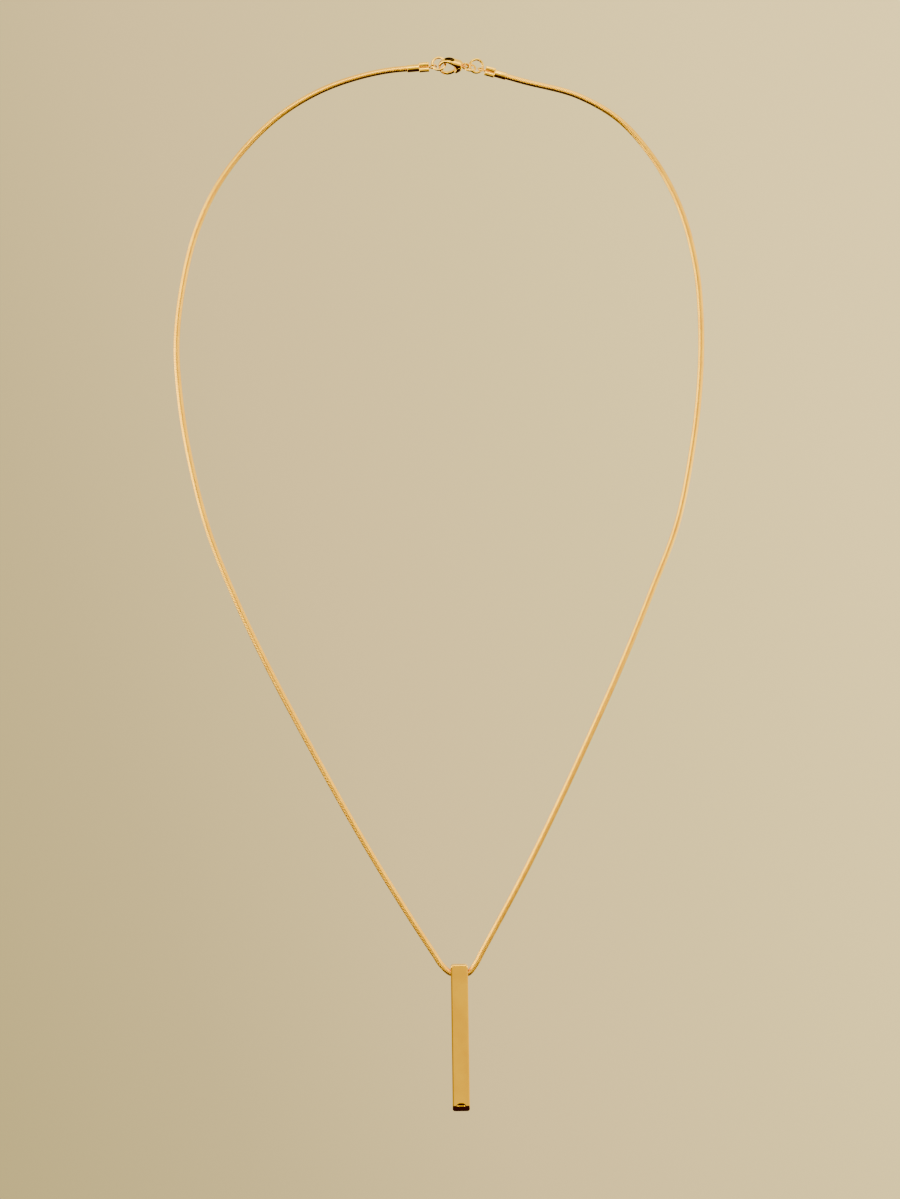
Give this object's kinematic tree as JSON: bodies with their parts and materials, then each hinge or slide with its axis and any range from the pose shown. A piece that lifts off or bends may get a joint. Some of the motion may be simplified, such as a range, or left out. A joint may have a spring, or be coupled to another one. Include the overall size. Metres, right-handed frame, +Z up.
{
  "type": "charm necklace",
  "caption": "Fine snake chain necklace with a slim square bar pendant, crimped chain ends, jump rings and a lobster clasp.",
  "frame": {"origin": "the middle of the clasp at the top of the hanging loop, where the necklace lies on the nape", "axes": "+Z up, from the bar pendant to the clasp; +X to the right as seen from the front; +Y away from the viewer, through the loop"},
  "size_m": [0.1409, 0.0048, 0.2806],
  "materials": {
    "chain_gold": "polished, gold plated",
    "finding_gold": "polished, gold plated",
    "bar_gold": "mirror polished, gold plated"
  },
  "bodies": {
    "necklace": {"snake_chain": "chain_gold", "crimp_left": "finding_gold", "crimp_right": "finding_gold", "jump_ring_left": "finding_gold", "jump_ring_right": "finding_gold", "link_ring": "finding_gold", "clasp_body": "finding_gold"},
    "pendant": {"bar_pendant": "bar_gold"},
    "lever": {"clasp_lever": "finding_gold"}
  },
  "joints": [
    {"name": "pendant_swing", "type": "hinge", "parent": "necklace", "child": "pendant", "pos_m": [0.0017, 0, -0.2412], "axis": [0.9999, 0, 0.014], "range_deg": [-90, 90]},
    {"name": "lever_pivot", "type": "hinge", "parent": "necklace", "child": "lever", "pos_m": [0.0016, 0, 0.0002], "axis": [0, 0.7431, 0.6691], "range_deg": [0, 18], "stiffness_Nm_per_rad": 0.00002, "springref_deg": -20.05}
  ]
}
